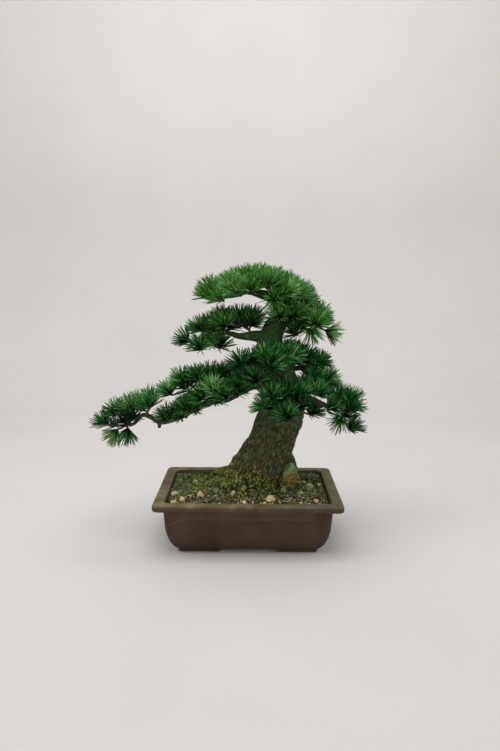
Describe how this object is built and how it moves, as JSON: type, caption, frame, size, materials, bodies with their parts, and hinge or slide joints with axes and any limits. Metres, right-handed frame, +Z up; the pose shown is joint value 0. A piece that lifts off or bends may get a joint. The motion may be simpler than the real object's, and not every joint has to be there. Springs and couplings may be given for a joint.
{
  "type": "pine bonsai tree in an oblong stoneware pot",
  "caption": "Leaning pine bonsai with layered pads of needle foliage, moss and pebbles at its foot, in a filled oblong stoneware pot on low corner feet.",
  "frame": {"origin": "under the middle of the whole object's bounding box, at the level of the pot's feet", "axes": "+Z up, +X to the right along the pot's long side as seen from the front, +Y away from the front"},
  "size_m": [0.5402, 0.2548, 0.5323],
  "materials": {
    "stoneware": "unglazed dark brown stoneware, matt, with a slightly lighter olive rim",
    "netting": "moulded plastic drain netting",
    "soil": "dark loose grit with pale grains",
    "moss": "short green and ochre moss",
    "bark": "rough fissured bark with an olive tinge",
    "needles": "waxy deep green needles",
    "rock": "rough stone, green above and red-brown below",
    "pebble_cream": "tumbled cream stone",
    "pebble_palegreen": "tumbled pale green stone",
    "pebble_green": "tumbled green stone",
    "pebble_slate": "tumbled grey stone"
  },
  "bodies": {
    "root": {"pot": "stoneware", "drain_screen_left": "netting", "drain_screen_right": "netting", "soil": "soil", "moss": "moss", "wood": "bark", "rock": "rock", "pebble_1": "pebble_cream", "pebble_2": "pebble_cream", "pebble_3": "pebble_cream", "pebble_4": "pebble_palegreen", "pebble_5": "pebble_cream", "pebble_6": "pebble_palegreen", "pebble_7": "pebble_cream", "pebble_8": "pebble_slate", "pebble_9": "pebble_palegreen", "pebble_10": "pebble_green", "pebble_11": "pebble_green", "pebble_12": "pebble_green", "pebble_13": "pebble_cream", "pebble_14": "pebble_slate", "pebble_15": "pebble_palegreen", "pebble_16": "pebble_slate", "spray_crown_left_1": "needles", "spray_crown_left_2": "needles", "spray_crown_left_3": "needles", "spray_crown_left_4": "needles", "spray_crown_back_1": "needles", "spray_crown_back_2": "needles", "spray_crown_front_1": "needles", "spray_crown_right_1": "needles", "spray_crown_right_2": "needles", "spray_neck_1": "needles", "spray_upper_right_1": "needles", "spray_upper_right_2": "needles", "spray_upper_right_back_1": "needles", "spray_mid_left_1": "needles", "spray_mid_left_2": "needles", "spray_mid_left_3": "needles", "spray_mid_left_back_1": "needles", "spray_front_mid_1": "needles", "spray_front_upper_1": "needles", "spray_front_upper_2": "needles", "spray_mid_right_1": "needles", "spray_mid_right_2": "needles", "spray_low_right_1": "needles", "spray_low_right_2": "needles", "spray_low_right_3": "needles", "spray_low_right_back_1": "needles", "spray_front_low_1": "needles", "spray_front_low_2": "needles", "spray_left_tip_1": "needles", "spray_left_tip_2": "needles", "spray_left_tip_3": "needles", "spray_left_1": "needles", "spray_left_2": "needles", "spray_left_top_1": "needles", "spray_left_top_2": "needles", "spray_left_back_1": "needles", "spray_back_1": "needles"}
  },
  "joints": []
}
